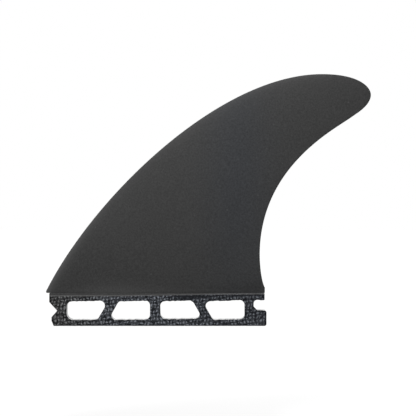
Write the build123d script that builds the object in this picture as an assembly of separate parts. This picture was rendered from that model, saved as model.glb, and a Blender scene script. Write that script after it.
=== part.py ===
from build123d import *
import os
from math import cos, radians, sin, sqrt, tan

# A surfboard fin with a single plug-in tab, in millimetres. +X runs from the leading edge to the trailing
# edge, +Z up the blade, and Y is the thickness. The plane Z = 0 is the board's surface, and X = Y = 0 is the
# middle of the tab. The fin's outer, foiled side faces -Y, and its flat inner side faces +Y.

# Tab, the tongue that plugs into the board
tab_length = 114.3
tab_depth = 17.1
tab_thickness = 6.4
tab_foot_chamfer = 0.4

# V notch in the front end, where the screw pulls the fin back
notch_top = 4.5
notch_depth = 4.15
notch_slope = 42.0
toe_setback = 1.2
toe_chamfer_width = 1.15
toe_chamfer_height = 2.6
notch_round = 0.3

# Slot in the rear end, which hooks on the box's pin, between a lip above it and a lug below
lip_setback = 1.0
lip_height = 3.45
slot_height = 5.35
slot_depth = 5.75
slot_round = 1.7
slot_chamfer = 1.8
lug_round = 1.05
lip_round = 0.4

# Walls left between the tab's four windows: a rail above and below, a land at each end, an upright rib near
# the middle, and a slanted rib in each half, whose width is measured level
top_rail = 3.8
foot_rail = 3.3
front_land = 9.1
rear_land = 11.3
centre_rib = 5.15
centre_rib_x = -1.45
front_rib = 5.2
rear_rib = 4.7
rib_lean = 30.0
window_round = 1.8
sharp_round = 2.4
front_round = 2.6

# Blade template, seen from the side
nose_overhang = 2.35
nose_height = 0.7
nose_round = 0.9
nose_angle = 63.3
foot_overhang = 0.4
foot_height = 2.7
foot_angle = 28.0
blade_height = 116.0
tip_reach = 56.2
tip_drop = 11.0
crown_setback = 25.9
tail_setback = 10.2
tail_drop = 11.8
tail_angle = 35.7
waist_height = 20.1
waist_setback = 2.7

# How full each curve of the template is: the length of its handles, as a share of the span that they shape
nose_fullness = 0.297
crown_fullness = 0.293
tip_top_fullness = 0.76
tip_end_fullness = 0.36
tip_under_fullness = 0.47
tip_turn_fullness = 0.33
tail_fullness = 0.13
waist_fullness = 0.53
heel_fullness = 0.34
foot_fullness = 0.21

# Foil, the blade's thickness
root_thickness = 6.0
tip_thickness = 1.9
leading_edge_thickness = 1.3
trailing_edge_thickness = 0.9
foil_bluntness = 0.035
edge_round = 0.4
foil_sections = 11
foil_overrun = 2.0
root_overrun = 1.0
tip_overrun = 25.0
tail_overrun = 17.5

inner_y = tab_thickness / 2
tab_front = -tab_length / 2
tab_rear = tab_length / 2
lip_x = tab_rear - lip_setback


def point(x, z):
    """A point of the side view, on the middle plane."""
    return Vector(x, 0, z)


def direction(angle):
    """The direction at an angle above +X, in degrees."""
    return Vector(cos(radians(angle)), 0, sin(radians(angle)))


def curve(start, leave, start_share, end, arrive, end_share):
    """A smooth span that leaves start along one direction and arrives at end along another."""
    span = (end - start).length
    return Bezier(start, start + leave * (span * start_share), end - arrive * (span * end_share), end)


# Corners and turning points of the template
nose_tip = point(tab_front - nose_overhang, nose_height)
nose_centre = nose_tip + Vector(nose_round, 0, 0)
nose = nose_centre + direction(nose_angle + 90) * nose_round
nose_foot = point(nose_centre.X - sqrt(nose_round**2 - nose_height**2), 0)
foot = point(lip_x + foot_overhang, 0)
foot_top = foot + Vector(0, 0, foot_height)
waist = point(foot.X - waist_setback, waist_height)
tip = point(foot.X + tip_reach, blade_height - tip_drop)
crown = point(tip.X - crown_setback, blade_height)
tail = point(tip.X - tail_setback, tip.Z - tail_drop)

up = direction(90)
aft = direction(0)
tail_run = direction(tail_angle)


def leading_edge():
    """The long sweep from the nose up to the blade's highest point."""
    return curve(nose, direction(nose_angle), nose_fullness, crown, aft, crown_fullness)


def trailing_edge():
    """From the foot up through the waist to the turn under the tip."""
    heel = curve(foot_top, direction(90 + foot_angle), foot_fullness, waist, up, heel_fullness)
    hollow = curve(waist, up, waist_fullness, tail, tail_run, tail_fullness)
    return [Line(foot, foot_top), heel, hollow]


def tip_edges():
    """The round tip, from the turn under it over its rearmost point to the crown."""
    under = Bezier(
        tail,
        tail + tail_run * (tail_drop * tip_turn_fullness),
        tip - up * (tail_drop * tip_under_fullness),
        tip,
    )
    over = Bezier(
        tip,
        tip + up * (tip_drop * tip_end_fullness),
        crown + aft * (crown_setback * tip_top_fullness),
        crown,
    )
    return [under, over]


def template():
    """The blade's outline as a face, with its nose rounded where it overhangs the tab."""
    nose_arc = ThreePointArc(nose, nose_tip, nose_foot)
    return make_face([nose_arc, Line(nose_foot, foot)] + trailing_edge() + tip_edges() + [leading_edge()])


def fullness(share):
    """The foil's height at a share of the chord: 0 at both edges, 1 at its peak, straight beyond the edges."""
    front = sqrt(foil_bluntness)
    back = sqrt(1 + foil_bluntness)
    inside = min(max(share, 0), 1)
    height = sqrt(inside + foil_bluntness) - front * (1 - inside) - back * inside
    slope = 0.5 / sqrt(inside + foil_bluntness) + front - back
    peak = (0.5 / (back - front)) ** 2 - foil_bluntness
    most = sqrt(peak + foil_bluntness) - front * (1 - peak) - back * peak
    return (height + slope * (share - inside)) / most


def foil_section(front, rear, thickness):
    """A closed section across the chord from front to rear, which runs past both edges and the inner face."""
    chord = rear - front
    margin = foil_overrun / chord.length
    back = Vector(0, inner_y + foil_overrun, 0)
    crown_points = []
    for share in (-margin, 0, 0.04, 0.1, 0.2, 0.32, 0.45, 0.6, 0.8, 1, 1 + margin):
        edge = leading_edge_thickness + (trailing_edge_thickness - leading_edge_thickness) * share
        depth = edge + (thickness - edge) * fullness(share)
        crown_points.append(front + chord * share + Vector(0, inner_y - depth, 0))
    front_back = front - chord * margin + back
    rear_back = rear + chord * margin + back
    return Wire(
        [
            Line(front_back, crown_points[0]),
            Spline(*crown_points),
            Line(crown_points[-1], rear_back),
            Line(rear_back, front_back),
        ]
    )


def foil():
    """The blade's blank: lofted through sections that fan out from below the root to past the tip."""
    below_nose = nose - direction(nose_angle) * ((nose.Z + root_overrun) / sin(radians(nose_angle)))
    below_foot = foot - up * root_overrun
    front_guide = Wire([Line(below_nose, nose), leading_edge(), Line(crown, crown + aft * tip_overrun)])
    rear_guide = Wire([Line(below_foot, foot)] + trailing_edge() + [Line(tail, tail + tail_run * tail_overrun)])
    sections = []
    for i in range(foil_sections):
        share = i / (foil_sections - 1)
        thickness = root_thickness + (tip_thickness - root_thickness) * share
        sections.append(foil_section(front_guide @ share, rear_guide @ share, thickness))
    return Solid.make_loft(sections)


def blade():
    """The template cut from the blank, with both edges of its rim rounded."""
    slab = extrude(Pos(0, inner_y, 0) * template(), tab_thickness, dir=(0, -1, 0))
    body = (slab & foil()).solid()
    foiled = body.faces().filter_by(GeomType.BSPLINE).sort_by(SortBy.AREA)[-1]
    flat = body.faces().filter_by(Axis.Y).sort_by(Axis.Y)[-1]
    rim = [edge for edge in foiled.edges() + flat.edges() if edge.bounding_box().max.Z > edge_round]
    return fillet(rim, edge_round)


def rounded_face(corners):
    """A face with straight sides, from its corners in order, each with the radius that rounds it."""
    face = make_face(Polyline(*[place for place, _ in corners], close=True))
    for place, radius in corners:
        if radius > 0:
            face = fillet(face.vertices().sort_by_distance(place)[0], radius)
    return face


def tab_outline():
    """The tab from the side: down the notched front end, along the foot, up the lug and round the slot."""
    fall = tan(radians(90 - notch_slope))
    notch_bottom = -notch_top - notch_depth * fall
    toe_x = tab_front + toe_setback
    slot_x = lip_x - slot_depth
    slot_bottom = -lip_height - slot_height
    return rounded_face(
        [
            (point(tab_front, 0), 0),
            (point(tab_front, -notch_top), notch_round),
            (point(tab_front + notch_depth, notch_bottom), notch_round),
            (point(toe_x, notch_bottom - (notch_depth - toe_setback) * fall), notch_round),
            (point(toe_x, toe_chamfer_height - tab_depth), 0),
            (point(toe_x + toe_chamfer_width, -tab_depth), 0),
            (point(tab_rear, -tab_depth), lug_round),
            (point(tab_rear, slot_bottom), lug_round),
            (point(slot_x + slot_chamfer, slot_bottom), 0),
            (point(slot_x, slot_bottom + slot_chamfer), 0),
            (point(slot_x, -lip_height), slot_round),
            (point(lip_x, -lip_height), lip_round),
            (point(lip_x, 0), 0),
        ]
    )


def window(upright_x, slanted_x, lean, upright_round):
    """A window from its upright end to its slanted end, which leans towards +X or -X as lean is 1 or -1."""
    top = -top_rail
    bottom = foot_rail - tab_depth
    shift = lean * (top - bottom) / 2 * tan(radians(rib_lean))
    sharp_at_top = (slanted_x - upright_x) * lean > 0
    return rounded_face(
        [
            (point(upright_x, bottom), upright_round),
            (point(upright_x, top), upright_round),
            (point(slanted_x + shift, top), sharp_round if sharp_at_top else window_round),
            (point(slanted_x - shift, bottom), window_round if sharp_at_top else sharp_round),
        ]
    )


def windows():
    """The four windows: in each half of the tab two of one width, between the centre rib and the end land."""
    halves = [
        (-1, tab_front + front_land, front_rib, front_round),
        (1, tab_rear - rear_land, rear_rib, window_round),
    ]
    faces = []
    for side, outer_upright, rib, end_round in halves:
        inner_upright = centre_rib_x + side * centre_rib / 2
        width = (abs(outer_upright - inner_upright) - rib) / 2
        inner_slant = inner_upright + side * width
        outer_slant = outer_upright - side * width
        faces.append(window(inner_upright, inner_slant, -side, window_round))
        faces.append(window(outer_upright, outer_slant, -side, end_round))
    return faces


def tab():
    """The tongue, with its windows cut through and the long edges of its foot chamfered."""
    body = extrude(tab_outline(), tab_thickness / 2, both=True)
    for face in windows():
        body -= extrude(face, tab_thickness, both=True)
    foot_edges = body.edges().filter_by(Axis.X).group_by(Axis.Z)[0]
    return chamfer(foot_edges, tab_foot_chamfer)


os.makedirs("parts", exist_ok=True)
fin = (blade() + tab()).solid()
export_step(fin, "parts/fin.step")
print("fin", fin.is_valid, "volume", round(fin.volume), "mm3")
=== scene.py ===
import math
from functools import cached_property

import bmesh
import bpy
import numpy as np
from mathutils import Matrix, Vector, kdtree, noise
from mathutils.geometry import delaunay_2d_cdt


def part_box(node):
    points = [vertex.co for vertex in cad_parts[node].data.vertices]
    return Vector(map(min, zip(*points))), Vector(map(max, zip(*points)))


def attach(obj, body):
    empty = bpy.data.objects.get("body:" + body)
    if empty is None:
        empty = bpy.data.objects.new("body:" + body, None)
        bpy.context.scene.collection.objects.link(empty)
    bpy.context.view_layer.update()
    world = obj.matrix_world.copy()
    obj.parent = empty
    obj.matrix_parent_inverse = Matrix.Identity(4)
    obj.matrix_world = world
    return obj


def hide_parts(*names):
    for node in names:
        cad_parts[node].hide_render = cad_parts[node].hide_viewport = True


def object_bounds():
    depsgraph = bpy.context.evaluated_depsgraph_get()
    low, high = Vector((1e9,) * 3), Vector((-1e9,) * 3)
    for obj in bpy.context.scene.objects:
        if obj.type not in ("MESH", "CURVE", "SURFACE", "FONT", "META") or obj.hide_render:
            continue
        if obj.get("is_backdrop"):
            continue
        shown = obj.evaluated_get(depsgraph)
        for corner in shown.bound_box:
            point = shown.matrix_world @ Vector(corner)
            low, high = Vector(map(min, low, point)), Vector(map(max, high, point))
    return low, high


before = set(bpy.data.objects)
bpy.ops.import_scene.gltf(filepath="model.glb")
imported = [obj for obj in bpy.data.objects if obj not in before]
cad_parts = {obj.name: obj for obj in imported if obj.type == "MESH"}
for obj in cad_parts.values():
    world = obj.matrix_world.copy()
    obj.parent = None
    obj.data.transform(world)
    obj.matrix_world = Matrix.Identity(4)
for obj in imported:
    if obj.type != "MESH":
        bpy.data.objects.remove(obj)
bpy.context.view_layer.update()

# %% [markdown]
# # A plug-in surfboard fin
#
# The fin is one moulded piece: a raked blade with a matte charcoal coat, and below it a tab of woven-cloth
# laminate that plugs into a box in the board. The frame that was just loaded holds its true size. Here blade
# and tab are rebuilt as finer meshes with the same form, so that they can carry a smooth foil, rounded edges
# and the relief of the cloth, and each gets a finish made only of nodes.
#
# All sizes are in metres. The outer, foiled side faces -Y, towards the camera, and +Z runs up the blade.

mm = 0.001
fin_low, fin_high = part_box("fin")
tab_depth = -fin_low.z
side_y = fin_high.y
blade_height = fin_high.z
print("fin:", [round(v / mm, 2) for v in fin_low], "to", [round(v / mm, 2) for v in fin_high], "mm")

# %% [markdown]
# ## Where the camera stands
#
# A product photograph is framed first and lit afterwards, and the same order helps here: once the camera is
# fixed, every render can be laid beside the picture. The tab's length in the picture gives the scale, so the
# width of the view at the tab is known, and the lens follows from that width and the camera's distance. A
# long distance keeps the perspective as weak as the picture's.

# %% Camera
picture_size = 416
tab_length = 114.3 * mm
tab_length_in_picture = 217.3
tab_middle_in_picture = 157.85
board_line_in_picture = 293.5
camera_distance = 650 * mm
sensor_width = 36

scale = tab_length / tab_length_in_picture
view_width = scale * picture_size
aim_x = scale * (picture_size / 2 - tab_middle_in_picture)
aim_z = scale * (board_line_in_picture - picture_size / 2)

camera_data = bpy.data.cameras.new("camera")
camera_data.sensor_width = sensor_width
camera_data.lens = sensor_width * camera_distance / view_width
camera = bpy.data.objects.new("camera", camera_data)
camera.location = (aim_x, -side_y - camera_distance, aim_z)
camera.rotation_euler = (math.radians(90), 0, 0)
bpy.context.scene.collection.objects.link(camera)
bpy.context.scene.camera = camera
print("camera at", [round(v, 4) for v in camera.location], "with a lens of", round(camera_data.lens, 1), "mm")

# %% [markdown]
# ## The template: the blade's outline
#
# A shaper cuts the blade to a template, a thin board with the fin's side view. Its outline is a few long
# curves that meet smoothly, and a cubic curve with two handles draws each of them. The points are (x, z)
# pairs in a table of numbers, one row each, because working on whole tables is much faster than on one point
# at a time.


# %% Curves of the template
def place(x, z):
    """A point of the side view, given in millimetres."""
    return np.array([x, z]) * mm


def heading(angle):
    """The direction at an angle above +X, in degrees."""
    return np.array([math.cos(math.radians(angle)), math.sin(math.radians(angle))])


def cubic(start, first_handle, second_handle, end, count=160):
    """Points along a cubic curve with two handles."""
    t = np.linspace(0, 1, count)[:, None]
    near = (1 - t) ** 3 * start + 3 * (1 - t) ** 2 * t * first_handle
    return near + 3 * (1 - t) * t**2 * second_handle + t**3 * end


def span(start, leave, start_share, end, arrive, end_share):
    """A curve that leaves and arrives along given directions, with handles that are shares of its span."""
    reach = np.linalg.norm(end - start)
    return cubic(start, start + leave * reach * start_share, end - arrive * reach * end_share, end)


up, aft = heading(90), heading(0)
lead_angle, tail_angle, foot_angle = 63.3, 35.7, 28.0
nose_radius = 0.9 * mm
nose_undercut = 51.0
root_overrun = 1.0 * mm
foot_setback = 0.6 * mm

nose_centre = np.array([fin_low.x + nose_radius, nose_radius * math.sin(math.radians(nose_undercut))])
nose = nose_centre + heading(lead_angle + 90) * nose_radius
nose_foot = nose_centre + heading(180 + nose_undercut) * nose_radius
nose_low = nose_foot + heading(270 + nose_undercut) * root_overrun / math.cos(math.radians(nose_undercut))
foot = np.array([tab_length / 2 - foot_setback, 0])
foot_low = foot - up * root_overrun
foot_top = foot + place(0, 2.7)
waist = foot + place(-2.7, 20.1)
tip = np.array([fin_high.x, blade_height - 11.0 * mm])
crown = np.array([tip[0] - 25.9 * mm, blade_height])
tail = tip + place(-10.2, -11.8)

leading_edge = span(nose, heading(lead_angle), 0.297, crown, aft, 0.293)
heel = span(foot_top, heading(90 + foot_angle), 0.21, waist, up, 0.34)
hollow = span(waist, up, 0.53, tail, heading(tail_angle), 0.13)
under_tip = cubic(tail, tail + heading(tail_angle) * 3.9 * mm, tip - up * 5.55 * mm, tip)
over_tip = cubic(tip, tip + up * 3.96 * mm, crown + aft * 19.7 * mm, crown)
print("leading edge from", nose / mm, "to", crown / mm, "mm")

# %% [markdown]
# A mesh wants its points evenly spread, and curves drawn with handles don't give that: their points crowd
# where the curve turns. So the outline is walked once and marked off at an even step.


# %% An even outline
def lengths_along(points):
    """How far each point lies along the line through them all."""
    steps = np.linalg.norm(np.diff(points, axis=0), axis=1)
    return np.concatenate([[0], np.cumsum(steps)])


def evenly(points, step):
    """The same line, marked off in equal steps of about the given length, with both ends kept."""
    along = lengths_along(points)
    marks = np.linspace(0, along[-1], max(2, round(along[-1] / step) + 1))
    return np.stack([np.interp(marks, along, points[:, 0]), np.interp(marks, along, points[:, 1])], axis=1)


def arc(centre, radius, start, end, step):
    """Points along an arc between two angles in degrees, in equal steps of about the given length."""
    count = max(2, round(abs(math.radians(end - start)) * radius / step) + 1)
    return np.array([centre + heading(angle) * radius for angle in np.linspace(start, end, count)])


def joined(*lines):
    """One closed loop from lines that follow each other, each without its last point."""
    return np.vstack([line[:-1] for line in lines])


rim_step, nose_step, end_step = 0.7 * mm, 0.1 * mm, 0.4 * mm
blade_loop = joined(
    arc(nose_centre, nose_radius, lead_angle + 90, 180 + nose_undercut, nose_step),
    evenly(np.array([nose_foot, nose_low]), end_step),
    evenly(np.array([nose_low, foot_low]), rim_step),
    evenly(np.array([foot_low, foot_top]), end_step),
    evenly(np.vstack([heel, hollow[1:]]), rim_step),
    evenly(np.vstack([under_tip, over_tip[1:]]), 0.5 * rim_step),
    evenly(leading_edge[::-1], rim_step),
)
print("points round the blade:", len(blade_loop))

# %% [markdown]
# ## The foil: how thick the blade is at each point
#
# Seen from the water, a side fin is a wing cut in half: its inner side is flat, and its outer side swells
# quickly behind the leading edge and thins slowly towards the trailing edge. The real foil is ground along
# lines that fan out from the root to past the tip. To find the thickness at a point, the fan's line through
# that point is found by halving the interval again and again, for all points at once. A square root gives the
# round front of the foil, and subtracting a straight line brings it back to zero at both edges.

# %% Foil
root_thickness, tip_thickness = 6.0 * mm, 1.9 * mm
leading_thickness, trailing_thickness = 1.3 * mm, 0.9 * mm
foil_bluntness = 0.035
tip_overrun, tail_overrun = 25 * mm, 17.5 * mm
halvings = 40

below_nose = nose - heading(lead_angle) * (nose[1] + root_overrun) / math.sin(math.radians(lead_angle))
front_guide = np.vstack([below_nose, leading_edge, crown + aft * tip_overrun])
rear_end = tail + heading(tail_angle) * tail_overrun
rear_guide = np.vstack([foot_low, foot_top, heel[1:], hollow[1:], rear_end])
guides = [(guide, lengths_along(guide) / lengths_along(guide)[-1]) for guide in (front_guide, rear_guide)]


def ends_of_fan_line(share):
    """Both ends of the fan's lines at the given shares of its guides."""
    return [
        np.stack([np.interp(share, marks, guide[:, 0]), np.interp(share, marks, guide[:, 1])], axis=1)
        for guide, marks in guides
    ]


def fullness(share):
    """The foil's height at a share of the chord: 0 at both edges and 1 at its peak, straight beyond them."""
    front, back = math.sqrt(foil_bluntness), math.sqrt(1 + foil_bluntness)
    inside = np.clip(share, 0, 1)
    height = np.sqrt(inside + foil_bluntness) - front * (1 - inside) - back * inside
    slope = 0.5 / np.sqrt(inside + foil_bluntness) + front - back
    peak = (0.5 / (back - front)) ** 2 - foil_bluntness
    most = math.sqrt(peak + foil_bluntness) - front * (1 - peak) - back * peak
    return (height + slope * (share - inside)) / most


def foil_depth(points):
    """The blade's thickness at points of the side view."""
    low, high = np.zeros(len(points)), np.ones(len(points))
    for _ in range(halvings):
        share = (low + high) / 2
        front, rear = ends_of_fan_line(share)
        chord, offset = rear - front, points - front
        above = chord[:, 0] * offset[:, 1] > chord[:, 1] * offset[:, 0]
        low, high = np.where(above, share, low), np.where(above, high, share)
    across = (chord * offset).sum(axis=1) / (chord * chord).sum(axis=1)
    thickness = root_thickness + (tip_thickness - root_thickness) * share
    edge = leading_thickness + (trailing_thickness - leading_thickness) * across
    return edge + (thickness - edge) * fullness(across)


spot = place(20, 40)
print("thickness", spot[1] / mm, "mm up:", round(foil_depth(spot[None])[0] / mm, 2), "mm")

# %% [markdown]
# ## Filling an outline with small triangles
#
# A flat face could be a single polygon, but a foil bends everywhere and the cloth has relief, so both need
# many small triangles of even size. The outline and a grid of points inside it go to a Delaunay
# triangulation, which joins near neighbours and never makes a sliver where it can avoid it. Triangles that
# fall outside the outline, or in a hole, are left out afterwards.


# %% Triangulated sheets
def inside(points, loops):
    """True for each point that lies within the first loop and in none of the others."""
    state = np.zeros(len(points), bool)
    for loop in loops:
        for (x0, z0), (x1, z1) in zip(loop, np.roll(loop, -1, axis=0)):
            if z0 != z1:
                beside = (points[:, 1] < z0) != (points[:, 1] < z1)
                state ^= beside & (points[:, 0] < x0 + (points[:, 1] - z0) * (x1 - x0) / (z1 - z0))
    return state


def nearest(points, others):
    """For each point, the number of the nearest other point and how far away it is."""
    tree = kdtree.KDTree(len(others))
    for i, (x, z) in enumerate(others):
        tree.insert((x, z, 0), i)
    tree.balance()
    found = [tree.find((x, z, 0)) for x, z in points]
    return np.array([number for _, number, _ in found]), np.array([away for _, _, away in found])


def grid_inside(loops, pitch):
    """Points of a triangular grid within the loops, none of them crowding a loop."""
    low, high = loops[0].min(axis=0), loops[0].max(axis=0)
    rows = np.arange(low[1], high[1], pitch * math.sin(math.radians(60)))
    columns = np.arange(low[0], high[0], pitch)
    points = np.array([(x + pitch / 2 * (i % 2), z) for i, z in enumerate(rows) for x in columns])
    points = points[inside(points, loops)]
    _, away = nearest(points, np.vstack(loops))
    least_gap = 0.6 * pitch
    return points[away > least_gap]


def triangulated(loops, pitch):
    """All points, the loops' own first, and the triangles that fill the face between the loops."""
    points = np.vstack(loops + [grid_inside(loops, pitch)])
    edges, first = [], 0
    for loop in loops:
        edges += [(first + i, first + (i + 1) % len(loop)) for i in range(len(loop))]
        first += len(loop)
    same_point = 1e-5
    made = delaunay_2d_cdt([Vector(p) for p in points / pitch], edges, [], 0, same_point)
    source = np.array([given[0] for given in made[3]])
    triangles = source[np.array(made[2])]
    return points, triangles[inside(points[triangles].mean(axis=1), loops)]


square = np.array([(0, 0), (10, 0), (10, 10), (0, 10)]) * mm
print("triangles in a 10 mm square with points 1 mm apart:", len(triangulated([square], 1 * mm)[1]))

# %% [markdown]
# ## The blade's mesh
#
# The blade is closed by three parts: the flat inner face, the foiled outer face, and between them the rim,
# a narrow wall with both its edges rounded. The rounding is a set of rings of points, each a little further
# in from the outline. On the foiled side the face slopes, so the quarter round is shorter there: its arc runs
# only from the wall to the face's own slope. The mesh runs on below the root, and one straight cut at the
# board's surface finishes it, as a saw would.

# %% Rings round the rim
rim_radius = 0.4 * mm
ring_steps = 5


def inward(loop):
    """The direction into the face at each point of a loop that runs anticlockwise."""
    run = np.roll(loop, -1, axis=0) - np.roll(loop, 1, axis=0)
    run /= np.linalg.norm(run, axis=1)[:, None]
    return np.stack([-run[:, 1], run[:, 0]], axis=1)


def rim_rings(loop):
    """Rings as (points, y) pairs, from the flat face over the rim to the foiled face."""
    into = inward(loop)
    flat_side = []
    for turn in np.linspace(0, math.pi / 2, ring_steps):
        reach = rim_radius * (1 - math.sin(turn))
        y = side_y - rim_radius * (1 - math.cos(turn))
        flat_side.append((loop + into * reach, np.full(len(loop), y)))
    at_edge = foil_depth(loop)
    slope = (foil_depth(loop + into * rim_radius) - at_edge) / rim_radius
    centre = at_edge + (slope - np.sqrt(1 + slope**2)) * rim_radius
    foiled_side = []
    for share in np.linspace(0, 1, ring_steps):
        turn = (math.pi / 2 - np.arctan(slope)) * share
        reach = rim_radius * (1 - np.cos(turn))
        foiled_side.append((loop + into * reach[:, None], side_y - centre - rim_radius * np.sin(turn)))
    return flat_side + foiled_side


rings = rim_rings(blade_loop)
print("rings round the rim:", len(rings), "of", len(blade_loop), "points")

# %% [markdown]
# The rings and the two sheets share their points where they meet, so the mesh is watertight without any
# merging. Each list of numbers below says which points make up one ring, and a band of quads joins each ring
# to the next.


# %% Bands and sheets into one mesh
def spatial(points, y):
    """Points of the side view with their y, as rows of x, y, z."""
    return np.stack([points[:, 0], np.broadcast_to(y, len(points)), points[:, 1]], axis=1)


def band(first, second):
    """Quads between two rings of point numbers that run side by side."""
    return np.stack([first, np.roll(first, -1), np.roll(second, -1), second], axis=1)


def mesh_piece(name, points, faces, finish_numbers=None):
    """A new object in the frame from points and faces, with its normals facing out and smooth shading."""
    mesh = bpy.data.meshes.new(name)
    mesh.from_pydata(points.tolist(), [], [list(map(int, face)) for face in faces])
    if finish_numbers is not None:
        mesh.polygons.foreach_set("material_index", finish_numbers)
    piece = bpy.data.objects.new(name, mesh)
    bpy.context.scene.collection.objects.link(piece)
    shape = bmesh.new()
    shape.from_mesh(mesh)
    bmesh.ops.recalc_face_normals(shape, faces=shape.faces)
    shape.to_mesh(mesh)
    shape.free()
    mesh.polygons.foreach_set("use_smooth", [True] * len(mesh.polygons))
    return piece


around = np.arange(len(blade_loop))
print("quads from one ring to the next:", len(band(around, around + len(blade_loop))))

# %% [markdown]
# Along the leading edge the coat gets a painted highlight, for the light that its rounded nose catches, and
# more so low down. A material can't know how far it is from an edge. Each point of the mesh therefore stores
# the share of that painted highlight, and the coat's recipe reads that share later.


# %% Where the leading edge gets a painted highlight
def smooth_step(value, low, high):
    """0 below the low value, 1 above the high one, and a smooth rise between them."""
    share = np.clip((value - low) / (high - low), 0, 1)
    return share * share * (3 - 2 * share)


highlight_reach = 1.7 * mm
highlight_fades_from, highlight_fades_to, highlight_fade = 10 * mm, 65 * mm, 0.8


def edge_highlight(points):
    """How much painted highlight the coat gets, from 0 to 1: most at the leading edge, and more there lower
    down.
    """
    _, away = nearest(points, leading_edge)
    fade = highlight_fade * smooth_step(points[:, 1], highlight_fades_from, highlight_fades_to)
    return np.exp(-away / highlight_reach) * (1 - fade)


print("rubbed at the nose and at the crown:", edge_highlight(leading_edge[[0, -1]]).round(2))

# %% [markdown]
# Now the blade is put together. The flat side gets large triangles and the foiled side small ones, because
# only the second one bends. One flat face closes the cut at the root, and its border stays sharp.

# %% Blade
flat_step, foil_step = 4.0 * mm, 1.1 * mm


def blade_mesh():
    """The blade with its rim, cut off level at the root."""
    flat_points, flat_faces = triangulated([rings[0][0]], flat_step)
    foil_points, foil_faces = triangulated([rings[-1][0]], foil_step)
    foil_y = side_y - foil_depth(foil_points)
    foil_y[: len(blade_loop)] = rings[-1][1]
    parts = [flat_points] + [ring for ring, _ in rings[1:-1]] + [foil_points]
    highlight_share = np.concatenate([edge_highlight(part) for part in parts])
    points = [spatial(flat_points, side_y)] + [spatial(*ring) for ring in rings[1:-1]]
    points.append(spatial(foil_points, foil_y))
    starts = np.cumsum([0] + [len(p) for p in points[:-1]])
    faces = list(flat_faces) + list(foil_faces + starts[-1])
    for first, second in zip(starts, starts[1:]):
        faces += list(band(around + first, around + second))
    piece = mesh_piece("fin_blade", np.vstack(points), faces)
    piece.data.attributes.new("edge_highlight", "FLOAT", "POINT").data.foreach_set("value", highlight_share)
    shape = bmesh.new()
    shape.from_mesh(piece.data)
    everything = shape.verts[:] + shape.edges[:] + shape.faces[:]
    bmesh.ops.bisect_plane(shape, geom=everything, plane_co=(0, 0, 0), plane_no=(0, 0, 1), clear_inner=True)
    open_edges = [edge for edge in shape.edges if edge.is_boundary]
    root = bmesh.ops.contextual_create(shape, geom=open_edges)["faces"]
    for face in root:
        face.smooth = False
    for edge in open_edges:
        edge.smooth = False
    shape.to_mesh(piece.data)
    shape.free()
    return piece


blade = blade_mesh()
print("blade:", len(blade.data.polygons), "faces")

# %% [markdown]
# ## The tab's outline and its windows
#
# The tab is a flat slab of laminate, so its side view says all about its form: a V notch in front for the
# screw, a slot behind for the pin, and four windows that save weight. Each outline is a list of corners, and
# each corner has its radius, because a cutter leaves round ones.


# %% Rounded outlines
def unit(vector):
    """The same direction with a length of 1."""
    return vector / np.linalg.norm(vector)


def rounded_loop(corners, step):
    """A closed line through (x, z, radius) corners in millimetres, with its straight runs divided evenly."""
    points = np.array([(x, z) for x, z, _ in corners]) * mm
    turned = []
    for i, (_, _, radius) in enumerate(corners):
        back = unit(points[i - 1] - points[i])
        ahead = unit(points[(i + 1) % len(corners)] - points[i])
        half = math.acos(np.clip(back @ ahead, -1, 1)) / 2
        if radius == 0:
            turned.append(points[i])
            continue
        centre = points[i] + unit(back + ahead) * radius * mm / math.sin(half)
        first = points[i] + back * radius * mm / math.tan(half) - centre
        last = points[i] + ahead * radius * mm / math.tan(half) - centre
        start = math.atan2(first[1], first[0])
        sweep = (math.atan2(last[1], last[0]) - start + math.pi) % (2 * math.pi) - math.pi
        count = max(2, math.ceil(abs(sweep) * radius * mm / step))
        angles = [math.degrees(start + sweep * k / count) for k in range(count + 1)]
        turned += [centre + heading(angle) * radius * mm for angle in angles]
    turned = np.array(turned)
    closed = zip(turned, np.roll(turned, -1, axis=0))
    return joined(*[evenly(np.array(pair), step) for pair in closed])


wall_step = 0.3 * mm
front, rear, depth = -tab_length / 2 / mm, tab_length / 2 / mm, tab_depth / mm
notch_top, notch_depth, notch_slope, notch_round = -4.5, 4.15, 42, 0.3
toe_setback, toe_width, toe_height = 1.2, 1.15, 2.6
slot_top, slot_floor, slot_depth, slot_chamfer, slot_round = -3.45, -8.7, 5.75, 1.8, 1.7
lip_setback, lip_round, lug_round_low, lug_round_high = 1.0, 0.4, 1.05, 1.5

notch_fall = math.tan(math.radians(90 - notch_slope))
notch_floor = notch_top - notch_depth * notch_fall
toe = front + toe_setback
toe_top = notch_floor - (notch_depth - toe_setback) * notch_fall
lip = rear - lip_setback
slot_end = lip - slot_depth

tab_corners = [
    (front, 0, 0),
    (front, notch_top, notch_round),
    (front + notch_depth, notch_floor, notch_round),
    (toe, toe_top, notch_round),
    (toe, toe_height - depth, 0),
    (toe + toe_width, -depth, 0),
    (rear, -depth, lug_round_low),
    (rear, slot_floor, lug_round_high),
    (slot_end + slot_chamfer, slot_floor, 0),
    (slot_end, slot_floor + slot_chamfer, 0),
    (slot_end, slot_top, slot_round),
    (lip, slot_top, lip_round),
    (lip, 0, 0),
]
tab_loop = rounded_loop(tab_corners, wall_step)
print("points round the tab:", len(tab_loop))

# %% [markdown]
# The windows follow from the walls that are left between them, as on a drawing. The real ones are less true:
# each corner lies up to half a millimetre off its place and is rounder or sharper than its neighbours, so a
# table adds those small amounts to the drawing's corners.

# %% Windows
top_rail, foot_rail, rib_lean = 3.8, 3.3, 30
front_land, front_rib, rear_land, rear_rib = 9.1, 5.2, 11.3, 4.7
rib_middle, centre_rib = -1.45, 5.15


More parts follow.
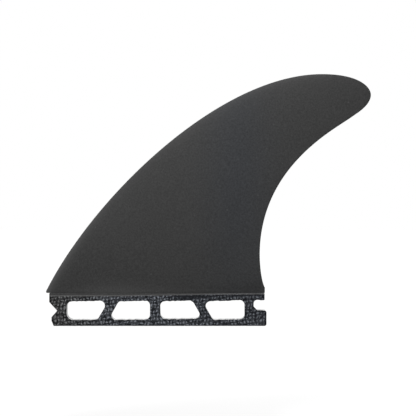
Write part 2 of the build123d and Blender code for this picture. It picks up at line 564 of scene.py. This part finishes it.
def window(upright, slanted, lean, real):
    """A window from its upright end to its slanted end, which leans towards +X or -X as lean is 1 or -1."""
    top, bottom = -top_rail, foot_rail - depth
    shift = lean * (top - bottom) / 2 * math.tan(math.radians(rib_lean))
    drawn = [(upright, bottom), (slanted - shift, bottom), (slanted + shift, top), (upright, top)]
    corners = [(x + off_x, z + off_z, radius) for (x, z), (off_x, off_z, radius) in zip(drawn, real)]
    return rounded_loop(corners if slanted > upright else corners[::-1], wall_step)


# For each window, how far each corner is off in X and Z, and its radius: upright end low, slanted end low,
# slanted end high, upright end high
real_corners = [
    [(-0.15, 0.1, 2.6), (0.15, -0.25, 2.4), (-0.1, -0.35, 2.2), (-0.1, 0.0, 2.4)],
    [(-0.05, -0.15, 3.4), (-0.35, -0.1, 2.4), (-0.1, 0.05, 2.6), (0.15, -0.45, 2.7)],
    [(0.3, 0.3, 2.9), (-0.4, 0.45, 2.4), (-0.1, 0.1, 2.9), (0.0, -0.35, 2.6)],
    [(-0.25, 0.3, 2.3), (0.3, -0.15, 2.4), (0.45, -0.4, 2.5), (-0.25, 0.3, 2.5)],
]
window_loops = []
for side, outer, rib in ((-1, front + front_land, front_rib), (1, rear - rear_land, rear_rib)):
    inner = rib_middle + side * centre_rib / 2
    width = (abs(outer - inner) - rib) / 2
    for upright, slanted in ((inner, inner + side * width), (outer, outer - side * width)):
        window_loops.append(window(upright, slanted, -side, real_corners[len(window_loops)]))
spans = [(loop.max(axis=0) - loop.min(axis=0)) / mm for loop in window_loops]
print("windows, long and high, in mm:", np.round(spans, 1).tolist())

# %% [markdown]
# ## The cloth, as one formula for shape and colour
#
# The tab's laminate was pressed with its cloth against the mould, and the crossing tows stand out as small
# pillows, a little under two millimetres apart and not quite in line. Two counts number them, one across and
# one up, and each count is a whole number on a crest. Small waves added to both counts push the rows about,
# as handling does to real cloth. The formula only adds, multiplies and takes cosines, so the same lines of
# Python can work on tables of numbers here and on shader sockets later, and the painted threads lie exactly
# on the raised ones. The seam, which is the lower edge of the coat, is written the same way.

# %% Cloth and seam
pillow_pitch, row_pitch, row_rise = 1.75, 1.9, 0.12
seam_drop, seam_rise = 1.2, 1.1
turn = 2 * math.pi
waves_across = ((43, 11, 0.22), (5.9, -4.3, 0.15), (-3.1, 7.7, 0.1))
waves_up = ((29, -17, 0.2), (4.7, 6.1, 0.13), (8.3, -2.9, 0.09))


def pushed(count, waves, x, z, cosine):
    """A count with waves added. Each wave has its lengths along X and Z in millimetres, and its height."""
    for length_x, length_z, height in waves:
        count = count + cosine((x * (1 / length_x) + z * (1 / length_z)) * turn) * height
    return count


def counts(x, z, cosine):
    """Which pillow across and which row up, at x and z in millimetres."""
    across = pushed(x * (1 / pillow_pitch), waves_across, x, z, cosine)
    up = pushed((z - x * row_rise) * (1 / row_pitch), waves_up, x, z, cosine)
    return across, up


def pillow_height(across, up, cosine):
    """From -1 in the gaps between the tows to 1 on the crests."""
    return (cosine(across * turn) + cosine(up * turn)) * 0.5


def above_seam(x, z, step):
    """Height over the lower edge of the coat, in millimetres. Masking tape left it higher at the rear."""
    return z + seam_drop - step(x, -30, 55) * seam_rise


row = np.linspace(-50, 50, 1000)
heights = pillow_height(*counts(row, row * 0, np.cos), np.cos)
print("crests in 100 mm:", int(((heights[1:-1] > heights[:-2]) & (heights[1:-1] > heights[2:])).sum()))

# %% [markdown]
# ## The tab's mesh
#
# Both faces get a fine sheet whose points sink into the gaps of the cloth, by a sixth of a millimetre at
# most. Above the seam the coat fills the cloth and the face is smooth. Along the edges the resin was squeezed
# past the cloth and stands clear, and it is darkened to black as painted shade. Each point of a sheet
# therefore looks up the nearest point of the outline, and keeps a share called resin, which is high in that
# border and 0 on the open cloth. The material reads the same share later for that painted shade.

# %% Relief and resin border
relief = 0.16 * mm
gap_low, gap_high = -0.7, 0.8
coat_fill_from, coat_fill_to = 0.1, 0.5
least_resin_and_shade, level_resin_and_shade = 0.25, 0.6
border_width, end_border_width = 0.55, 0.9
rear_end_from, rear_end_to = tab_length / 2 - 3 * mm, tab_length / 2 - 1 * mm
front_end_from, front_end_to = tab_length / 2 - 2.5 * mm, tab_length / 2 - 0.8 * mm


def resin_and_shade_border(loop, into):
    """How strong the border of clear resin and painted shade is along a loop, from 0 to 1, and how wide it
    is.
    """
    on_level_edge = smooth_step(np.abs(into[:, 1]), 0.6, 0.95)
    at_rear = smooth_step(loop[:, 0], rear_end_from, rear_end_to)
    at_front = smooth_step(-loop[:, 0], front_end_from, front_end_to)
    at_ends = np.maximum(at_rear, at_front)
    width = (border_width + end_border_width * at_ends) * mm
    return np.maximum(least_resin_and_shade + level_resin_and_shade * on_level_edge, at_ends), width


def resin_and_shade_share(points, loops, intos):
    """How strong the border of clear resin and painted shade is at points of the side view."""
    borders = [resin_and_shade_border(loop, into) for loop, into in zip(loops, intos)]
    strength, width = [np.concatenate(parts) for parts in zip(*borders)]
    numbers, away = nearest(points, np.vstack(loops))
    return strength[numbers] * (1 - smooth_step(away, 0.4 * width[numbers], width[numbers]))


def recess(points, resin):
    """How far the face lies below its nominal plane at points of the side view."""
    x, z = points[:, 0] / mm, points[:, 1] / mm
    bare = smooth_step(-above_seam(x, z, smooth_step), coat_fill_from, coat_fill_to) * (1 - resin)
    gap = 1 - smooth_step(pillow_height(*counts(x, z, np.cos), np.cos), gap_low, gap_high)
    return bare * gap * relief


foot_rail_line = np.stack([row, np.full(len(row), foot_rail / 2 - depth)], axis=1) * mm
print("deepest gap along the foot rail:", round(recess(foot_rail_line, 0).max() / mm, 2), "mm")

# %% [markdown]
# The windows and both ends were cut after moulding. The cutter chattered along the windows' level sides and
# left them slightly wavy. A cut edge is sharp, so the maker broke it with a narrow slope between wall and
# face. The slope is wider along the foot, which has to find its way into the box.

# %% Cut edges
chatter_length, chatter_row = 1.4 * mm, 7.3
chatter_least, chatter_more = 0.04, 0.2
calm_within, rough_beyond = 0.5, 1.5
plain_break, foot_break = 0.12 * mm, 0.4 * mm
foot_break_from, foot_break_to = tab_depth - 0.3 * mm, tab_depth - 0.05 * mm


def worn(loop, into):
    """The loop with the cutter's chatter, which shows on level edges below the coat."""
    spots = [Vector((x / chatter_length, z / chatter_length, chatter_row)) for x, z in loop]
    moves = np.array([noise.noise(spot) for spot in spots])
    depth_below_seam = -above_seam(loop[:, 0] / mm, loop[:, 1] / mm, smooth_step)
    below_coat = smooth_step(depth_below_seam, calm_within, rough_beyond)
    above_foot = smooth_step(loop[:, 1] + tab_depth, calm_within * mm, rough_beyond * mm)
    on_level_edge = smooth_step(np.abs(into[:, 1]), 0.7, 0.95)
    most = (chatter_least + chatter_more * on_level_edge * above_foot) * mm
    return loop + into * (moves * most * below_coat)[:, None]


def break_width(loop):
    """How wide the broken edge is between wall and face, along a loop."""
    at_foot = smooth_step(-loop[:, 1], foot_break_from, foot_break_to)
    return plain_break + (foot_break - plain_break) * at_foot


slopes = break_width(tab_loop) / mm
print("broken edges:", round(slopes.min(), 2), "to", round(slopes.max(), 2), "mm wide")

# %% [markdown]
# The tab's mesh is a relief sheet on each side and, for the outline and each window, a wall between two
# broken edges, made of bands of quads. A small class counts the points as they are added, because faces refer
# to points by number. It keeps each face's finish too: 0 is the laminate, 1 the cut wall and 2 the coat.

# %% Tab
cloth_step = 0.26 * mm
wall_rows = 9
level = 0.01 * mm


class Sheets:
    """Points, faces and finishes of a mesh as they are added, part by part."""

    def __init__(self):
        self.points, self.faces, self.finishes, self.resin = [], [], [], []
        self.count = 0

    def add_points(self, points, resin):
        """Adds points and returns their numbers."""
        numbers = np.arange(len(points)) + self.count
        self.points.append(points)
        self.resin.append(np.broadcast_to(resin, len(points)))
        self.count += len(points)
        return numbers

    def add_faces(self, faces, finishes):
        """Adds faces and the number of their finish, which is one for all or one each."""
        self.faces += list(faces)
        self.finishes += list(np.broadcast_to(finishes, len(faces)))


def tab_mesh():
    """The tab: two relief sheets and the walls of its outline and windows."""
    loops = [tab_loop] + window_loops
    intos = [inward(tab_loop)] + [-inward(loop) for loop in window_loops]
    edges = [worn(loop, into) for loop, into in zip(loops, intos)]
    sheets = Sheets()
    rims_by_side = []
    for side in (-1, 1):
        rims = []
        for edge, into, loop in zip(edges, intos, loops):
            flush = (side > 0) & (loop[:, 1] > -level) & (loop[:, 0] > tab_loop[:, 0].min() + level)
            rims.append(edge + into * np.where(flush, 0, break_width(loop))[:, None])
        flat, triangles = triangulated(rims, cloth_step)
        resin = resin_and_shade_share(flat, edges, intos)
        numbers = sheets.add_points(spatial(flat, side * (side_y - recess(flat, resin))), resin)
        sheets.add_faces(numbers[triangles], 0)
        ends = np.cumsum([len(rim) for rim in rims])
        rims_by_side.append(np.split(numbers[: ends[-1]], ends[:-1]))
    for i, (edge, loop) in enumerate(zip(edges, loops)):
        at_root = loop[:, 1] > -level
        along_root = at_root & np.roll(at_root, -1)
        wall_finish, break_finish = np.where(along_root, 2, 1), np.where(along_root, 2, 0)
        rows = [
            sheets.add_points(spatial(edge, share * (side_y - break_width(loop))), 1.0)
            for share in np.linspace(-1, 1, wall_rows)
        ]
        sheets.add_faces(band(rims_by_side[0][i], rows[0]), break_finish)
        for ring, following in zip(rows, rows[1:]):
            sheets.add_faces(band(ring, following), wall_finish)
        sheets.add_faces(band(rows[-1], rims_by_side[1][i]), break_finish)
    piece = mesh_piece("fin_tab", np.vstack(sheets.points), sheets.faces, sheets.finishes)
    share = piece.data.attributes.new("resin", "FLOAT", "POINT")
    share.data.foreach_set("value", np.concatenate(sheets.resin))
    return piece


tab = tab_mesh()
print("tab:", len(tab.data.polygons), "faces")
for piece in (blade, tab):
    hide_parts("fin")
    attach(piece, "root")

# %% [markdown]
# ## Writing shader maths as Python
#
# A finish is a small calculation at every point of a surface. Drawn as nodes it soon becomes a web, but it
# reads well as a formula. The class below holds one socket and turns each operator into a Math node, so that
# `1 - mask * 0.5` builds its own nodes.


# %% Values
class Value:
    """A number, colour or vector that varies over a surface: one output socket of a material's nodes."""

    def __init__(self, recipe, socket):
        self.recipe = recipe
        self.socket = socket

    def math(self, operation, *others):
        return self.recipe.node("ShaderNodeMath", {"operation": operation}, dict(enumerate((self, *others))))

    def __add__(self, other):
        return self.math("ADD", other)

    __radd__ = __add__

    def __mul__(self, other):
        return self.math("MULTIPLY", other)

    __rmul__ = __mul__

    def __sub__(self, other):
        return self.math("SUBTRACT", other)

    def __rsub__(self, other):
        return self.math("MULTIPLY_ADD", -1, other)

    def __neg__(self):
        return self.math("MULTIPLY", -1)

    def cosine(self):
        return self.math("COSINE")

    def exponent(self):
        return self.math("EXPONENT")

    def part(self, name):
        """One component of a vector."""
        return self.recipe.node("ShaderNodeSeparateXYZ", {}, {0: self}, name)

    def ramp(self, low, high):
        """0 below the low value, 1 above the high one, and a smooth rise between them."""
        settings = {"interpolation_type": "SMOOTHSTEP"}
        return self.recipe.node("ShaderNodeMapRange", settings, {0: self, "From Min": low, "From Max": high})


print("a value knows:", ", ".join(name.strip("_") for name in vars(Value) if callable(vars(Value)[name])))

# %% [markdown]
# A recipe adds the nodes of one material, or of the world. Any node comes from one method, `node`, which
# takes the node's type, its settings and what goes into its sockets, and the other methods are short names
# for common nodes. The nodes for the place on the object are made when it is first asked for. Greys are
# written as a picture shows them, so that photograph and render can be compared.


# %% Recipes
class Recipe:
    """The nodes of one material, or of the world."""

    def __init__(self, owner):
        owner.use_nodes = True
        self.owner, self.tree = owner, owner.node_tree
        self.tree.nodes.clear()

    @cached_property
    def position(self):
        """The place on the object, in millimetres."""
        place = self.node("ShaderNodeTexCoord", {}, {}, "Object")
        return self.node("ShaderNodeVectorMath", {"operation": "SCALE"}, {0: place, "Scale": 1 / mm})

    @cached_property
    def side_view(self):
        """X and Z of that place."""
        return self.position.part("X"), self.position.part("Z")

    def node(self, kind, settings, sockets, output=0):
        """Adds any node: its settings first, then the values or links of its sockets."""
        made = self.tree.nodes.new(kind)
        for name, value in settings.items():
            setattr(made, name, value)
        for key, value in sockets.items():
            if isinstance(value, Value):
                self.tree.links.new(value.socket, made.inputs[key])
            else:
                made.inputs[key].default_value = value
        return Value(self, made.outputs[output]) if made.outputs else None

    def noise(self, size, detail=2.0, roughness=0.5, offset=(0, 0, 0)):
        """Soft noise from 0 to 1 with spots of about the given size in millimetres."""
        moved = self.node("ShaderNodeVectorMath", {"operation": "ADD"}, {0: self.position, 1: offset})
        sockets = {"Vector": moved, "Scale": 1 / size, "Detail": detail, "Roughness": roughness}
        return self.node("ShaderNodeTexNoise", {}, sockets)

    def mix(self, share, first, second):
        """A colour between two colours."""
        return self.node("ShaderNodeMix", {"data_type": "RGBA"}, {0: share, 6: first, 7: second}, 2)

    def bump(self, height, distance):
        """A normal from a height between 0 and 1, where 1 stands the given distance proud."""
        return self.node("ShaderNodeBump", {}, {"Height": height, "Distance": distance, "Strength": 1.0})

    def finish(self, colour, roughness, normal, specular):
        """Ends the recipe in a Principled shader."""
        sockets = {"Base Color": colour, "Roughness": roughness, "Normal": normal}
        sockets["Specular IOR Level"] = specular
        shader = self.node("ShaderNodeBsdfPrincipled", {}, sockets)
        self.node("ShaderNodeOutputMaterial", {}, {"Surface": shader})
        return self.owner

    def blend(self, share, first, second, output_kind):
        """Ends the recipe in the first shader, and the second one by the given share."""
        shader = self.node("ShaderNodeMixShader", {}, {0: share, 1: first, 2: second})
        self.node(output_kind, {}, {"Surface": shader})


def grey(value, blue=0.0):
    """A colour in the linear light that shaders use, from a grey as a picture shows it, 0 to 255."""
    linear = ((value / 255 + 0.055) / 1.055) ** 2.4
    return (linear * (1 - blue * 0.5), linear, linear * (1 + blue), 1)


print("mid charcoal in linear light:", round(grey(62)[0], 4))

# %% [markdown]
# ## The coat
#
# The blade wears a matte charcoal coat, sprayed and left with a fine tooth. Up close it is a faint grain, and
# over a hand's width it drifts a little lighter and darker. A soft paler patch lies low on the blade. The
# coat is darkened towards the root as painted shade, and made paler again just above the tab as painted
# light, where the root would catch it. The middle of the rear half has a breath of blue. The leading edge
# gets a painted highlight by the share that the mesh carries, and a few specks of dust lie all over. Colour
# and roughness both follow the grain, because a rougher spot scatters more light and looks paler.

# %% Coat
# The palest grey is used for the painted highlight along the leading edge and for dust.
coat_dark, coat_pale, coat_highlight_and_dust = 46, 63, 86
coat_blue = 0.08
mottle_size, grain_size, dust_size = 26, 0.9, 1.3
grain_height = 0.03 * mm
low_pale_patch, blue_breath = (-22, 3.0, 14, 3.5), (42, 60, 17, 65)


def around_place(recipe, place):
    """1 at a place and fading to 0 around it. A place is x, z and the widths of its fade along both."""
    (x, z), (middle_x, middle_z, width_x, width_z) = recipe.side_view, place
    along, up = (x - middle_x) * (1 / width_x), (z - middle_z) * (1 / width_z)
    return (-(along * along + up * up)).exponent()


def coat_values(recipe):
    """Colour, roughness and normal of the matte coat."""
    mottle = recipe.noise(mottle_size, 3.0)
    grain = recipe.noise(grain_size, 3.0, 0.75)
    in_low_pale_patch = around_place(recipe, low_pale_patch)
    x, z = recipe.side_view
    rear = x.ramp(0, 20)
    # Painted light: the coat is made paler just above the tab, where the root would catch the light.
    at_root = (z.ramp(5, 0.5) * (1 - rear) + z.ramp(2.8, 1.4) * rear) * 0.35
    # Painted shade: the coat is darkened towards the root, over its lowest 45 mm.
    tone = (mottle - 0.5) * 0.3 + (grain - 0.5) * 1.9 + in_low_pale_patch * 0.3 - z.ramp(45, 0) * 0.2 + at_root + 0.5
    plain = recipe.mix(tone, grey(coat_dark), grey(coat_pale))
    bluish = recipe.mix(tone, grey(coat_dark - 1, coat_blue), grey(coat_pale - 1, coat_blue))
    colour = recipe.mix(around_place(recipe, blue_breath), plain, bluish)
    # Painted highlight along the leading edge, read from the mesh, and specks of dust, both in the palest
    # grey.
    highlight_share = recipe.node("ShaderNodeAttribute", {"attribute_name": "edge_highlight"}, {}, "Fac")
    dust = recipe.noise(dust_size, 0.0, 0.5, (7, 3, 1)).ramp(0.82, 0.9) * 0.3
    colour = recipe.mix(highlight_share + dust, colour, grey(coat_highlight_and_dust))
    return colour, grain * 0.2 + 0.6, recipe.bump(grain, grain_height)


def coat(name):
    """A finish that is coat all over."""
    recipe = Recipe(bpy.data.materials.new(name))
    return recipe.finish(*coat_values(recipe), specular=0.05)


blade.data.materials.append(coat("matte_coat"))
print("coat on", blade.name)

# %% [markdown]
# ## The seam between coat and laminate
#
# The blade was sprayed with the tab masked off. The coat's lower edge crosses the top of the tab and ends in
# a thin pale line, which is a pale edge with a painted highlight where that edge catches the light, brighter
# at the rear. Under its rear half a dark band is painted shade, the shade under that edge, and it is darker
# still in the middle of that half. Both the laminate and the cut walls meet this edge, so one function adds
# it to either.

# %% Seam
# Greys and places of the seam line's painted highlight and of the painted shade under the coat's edge.
seam_shade_grey, seam_line_highlight_grey, rear_seam_line_highlight_grey = 29, 93, 130
seam_shade_drop, deeper_shade_drop, deeper_shade_place = 0.85, 1.7, (17, -1, 10, 8)
line_sharpness = 8


def with_coat_edge(recipe, colour, roughness):
    """Covers a laminate with the coat above the seam, draws the line between them with a painted highlight,
    and paints shade under it.
    """
    x, z = recipe.side_view
    height = above_seam(x, z, Value.ramp) + (recipe.noise(1.6) - 0.5) * 0.1
    coat_colour, coat_roughness, _ = coat_values(recipe)
    sharpness = x.ramp(-16, 4) * line_sharpness + line_sharpness
    line = (-(height * height * sharpness)).exponent()
    under, deeper = height + seam_shade_drop, height + deeper_shade_drop
    # Painted shade under the coat's edge: a band along the rear half, darker still in the middle of that
    # half.
    gap = (-(under * under * 5)).exponent() * x.ramp(2, 14)
    deeper_shade = (-(deeper * deeper * 2)).exponent() * around_place(recipe, deeper_shade_place)
    covered = height.ramp(-0.05, 0.1)
    colour = recipe.mix((gap + deeper_shade) * 0.85, colour, grey(seam_shade_grey, 0.2))
    colour = recipe.mix(covered, colour, coat_colour)
    # Painted highlight: the pale line at the coat's edge, brighter towards the rear.
    seam_line_highlight_colour = recipe.mix(x.ramp(22, 52), grey(seam_line_highlight_grey), grey(rear_seam_line_highlight_grey))
    colour = recipe.mix(line * 0.8, colour, seam_line_highlight_colour)
    return colour, roughness + (coat_roughness - roughness) * covered


print("the coat ends", seam_drop, "mm down in front and", round(seam_drop - seam_rise, 2), "mm at the rear")

# %% [markdown]
# ## The laminate
#
# The tab is dark cloth in black resin. The crests of its pillows are painted grey, as the highlight that they
# catch, and the resin between them is nearly black. No two pillows are alike, so noise decides how pale each
# one is, a soft haze varies the resin, and a few places of the tab are paler or darker than the rest. In
# every other pillow the fibres run upright and in the rest they lie level, as in any plain weave. Two cosines
# that take two pillows to a wave, multiplied, have one sign on the first kind and the other sign on the
# second. The front end of the tab is less blue than the rest.

# %% Laminate
fibre_pitch = 0.24
# The tows' grey is the painted highlight on the crests; the resin's grey is its own colour.
resin_grey, tow_highlight_grey = 22, 122
front_rib_paler, centre_rib_paler = (-27, -9, 6, 9), (-2, -8, 5, 9)
rear_land_dark, rear_rib_dark = (48, -6, 10, 9), (27, -4, 9, 8)


def laminate():
    """The finish of the tab's faces and broken edges."""
    recipe = Recipe(bpy.data.materials.new("tab_laminate"))
    x, z = recipe.side_view
    across, up = counts(x, z, Value.cosine)
    # Painted highlight: the crests of the pillows are painted towards the tows' grey.
    pillow = pillow_height(across, up, Value.cosine).ramp(0.0, 0.95)
    upright = (across * math.pi).cosine() * (up * math.pi).cosine()
    fibres_up = (x * (turn / fibre_pitch)).cosine() * upright.ramp(-0.15, 0.15)
    fibres_level = (z * (turn / fibre_pitch)).cosine() * upright.ramp(0.15, -0.15)
    fibre = fibres_up + fibres_level
    uneven = recipe.noise(1.5, 1.0, 0.5, (31, 0, 4)).ramp(0.32, 0.68)
    speck = recipe.noise(0.5, 2.0, 0.6, (5, 0, 9))
    resin = recipe.node("ShaderNodeAttribute", {"attribute_name": "resin"}, {}, "Fac")
    haze = recipe.noise(1.2, 1.0, 0.5, (11, 0, 2)).ramp(0.3, 0.75)
    highlight_and_tone = pillow * (uneven * 0.6 + 0.38) + speck.ramp(0.42, 0.78) * 0.2 + fibre * pillow * 0.04
    highlight_and_tone = highlight_and_tone + haze * 0.27 - 0.06
    paler_places = around_place(recipe, front_rib_paler) * 0.35 + around_place(recipe, centre_rib_paler) * 0.25
    dark = around_place(recipe, rear_land_dark) * 0.35 + around_place(recipe, rear_rib_dark) * 0.2
    highlight_and_tone = highlight_and_tone * (paler_places - dark + recipe.noise(9, 1.0) * 0.6 + 0.7)
    front_end = x.ramp(-15, -60)
    black = recipe.mix(front_end, grey(resin_grey, 0.24), grey(resin_grey, 0.02))
    tow_highlight = recipe.mix(front_end, grey(tow_highlight_grey, 0.13), grey(tow_highlight_grey - 1, 0.0))
    # Painted shade: the border along the edges, partly clear resin, is darkened towards black by the share
    # called resin.
    colour = recipe.mix(highlight_and_tone * (1 - resin * 0.85), black, tow_highlight)
    colour, roughness = with_coat_edge(recipe, colour, 0.45 - resin * 0.15)
    normal = recipe.bump(speck * 0.6 + fibre * 0.2, grain_height)
    return recipe.finish(colour, roughness, normal, specular=0.04)


print("resin and tows in linear light:", round(grey(resin_grey)[0], 4), round(grey(tow_highlight_grey)[0], 4))

# %% [markdown]
# ## The cut walls and the root
#
# A cut through a laminate shows its layers edge on: thin stripes of cloth and resin, not quite straight, and
# polished by the cutter. A cosine through the thickness makes the stripes, and noise shifts it a little from
# place to place. The faces at the root, level with the board's surface, are coated like the blade.

# %% Cut walls and root
layer_pitch = 0.42
wall_dark, wall_pale = 26, 58
polish_height = 0.004 * mm


def cut_wall():
    """The cut through the laminate: thin layers of cloth in polished resin."""
    recipe = Recipe(bpy.data.materials.new("tab_cut_wall"))
    layers = (recipe.position.part("Y") * (turn / layer_pitch) + recipe.noise(2.5) * 3).cosine()
    grit = recipe.noise(0.3, 3.0, 0.7)
    stripes = (layers * 0.25 + grit * 0.7).ramp(0.0, 1.0)
    colour = recipe.mix(stripes, grey(wall_dark, 0.1), grey(wall_pale, 0.05))
    colour, roughness = with_coat_edge(recipe, colour, 0.04 + grit * 0.06)
    normal = recipe.bump(grit, polish_height)
    return recipe.finish(colour, roughness, normal, specular=0.5)


for finish in (laminate(), cut_wall(), coat("tab_top_coat")):
    tab.data.materials.append(finish)
print("finishes on", tab.name + ":", [material.name for material in tab.data.materials])

# %% [markdown]
# ## Lamps
#
# The picture's light can be read off the blade. It is palest along its upper edge and falls off towards the
# root, so the lamp is near and above. Its leading edge, which turns away to the left and up, shows as a
# paler band. Together they place a lamp 34 cm above the board's surface and 24 cm in front of the fin. A
# second lamp behind shows the flat inner side as plainly when the camera goes round.


# %% Lamps
def lamp(name, position, target, size, power):
    """A square lamp that faces a target, with its size in metres and its power in watts."""
    data = bpy.data.lights.new(name, "AREA")
    data.size = size
    data.energy = power
    made = bpy.data.objects.new(name, data)
    made.location = position
    made.rotation_euler = (Vector(target) - Vector(position)).to_track_quat("-Z", "Y").to_euler()
    bpy.context.scene.collection.objects.link(made)
    print(name, "lamp at", position, "with", power, "W")


aim = (0.02, 0.0, 0.03)
lamp("key", (-0.03, -0.24, 0.34), aim, 0.12, 1.9)
lamp("back", (0.15, 0.45, 0.35), aim, 0.25, 2.5)

# %% [markdown]
# ## Background and floor
#
# The background is plain white. It is white to the camera and in reflections, but lights the object only as
# much as a dim room would, or the charcoal would turn grey. The world's nodes choose by the kind of ray.


# %% Background
def looked_at(recipe):
    """1 for what is seen straight, in a mirror or through glass, and 0 for light that bounces on."""
    names = ("Is Camera Ray", "Is Glossy Ray", "Is Transmission Ray")
    straight, mirrored, through = [recipe.node("ShaderNodeLightPath", {}, {}, name) for name in names]
    return straight.math("MAXIMUM", mirrored.math("MAXIMUM", through))


room_light = 0.1
white = (1, 1, 1, 1)
world = bpy.data.worlds.new("studio")
bpy.context.scene.world = world
recipe = Recipe(world)
room = recipe.node("ShaderNodeBackground", {}, {"Color": white, "Strength": room_light})
paper = recipe.node("ShaderNodeBackground", {}, {"Color": white})
recipe.blend(looked_at(recipe), room, paper, "ShaderNodeOutputWorld")
print("the room lights the fin with a strength of", room_light)

# %% [markdown]
# The floor lies below the fin, which is held by its mount and doesn't rest on anything. Four fifths of what
# the camera sees of it near the fin is the same plain white, and further out nearly all. The rest is a
# diffuse paint that takes the lamps' light and the fin's shadow.

# %% Floor
floor_drop, floor_reach = 75 * mm, 6.0
paint_colour, white_level = (0.8, 0.8, 0.8, 1), 1.09
near_edge, far_edge = 350, 800
white_near, white_far = 0.8, 0.95
floor_mesh = bpy.data.meshes.new("floor")
corners = [(x * floor_reach, y * floor_reach, 0) for x, y in ((-1, -1), (1, -1), (1, 1), (-1, 1))]
floor_mesh.from_pydata(corners, [], [(0, 1, 2, 3)])
floor = bpy.data.objects.new("floor", floor_mesh)
floor.location.z = -floor_drop
bpy.context.scene.collection.objects.link(floor)
floor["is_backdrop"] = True

recipe = Recipe(bpy.data.materials.new("pale_floor"))
paint = recipe.node("ShaderNodeBsdfDiffuse", {}, {"Color": paint_colour})
glow = recipe.node("ShaderNodeEmission", {}, {"Strength": white_level})
away = recipe.node("ShaderNodeVectorMath", {"operation": "LENGTH"}, {0: recipe.position}, "Value")
limits = {"From Min": near_edge, "From Max": far_edge, "To Min": white_near, "To Max": white_far}
white_share = recipe.node("ShaderNodeMapRange", {}, {"Value": away, **limits})
recipe.blend(looked_at(recipe) * white_share, paint, glow, "ShaderNodeOutputMaterial")
floor_mesh.materials.append(recipe.owner)
print("floor", round(floor_drop / mm), "mm below the board's surface")

# %% [markdown]
# ## Measuring
#
# A finish must not change a size, so the box of the fin as it looks now is written beside the solid's box.
# The Standard view shows a colour as it was written.

# %% Sizes
bpy.context.scene.view_settings.view_transform = "Standard"
dressed_low, dressed_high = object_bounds()
for corner in (dressed_low, dressed_high):
    print("dressed, to a corner at", [round(v / mm, 2) for v in corner], "mm")
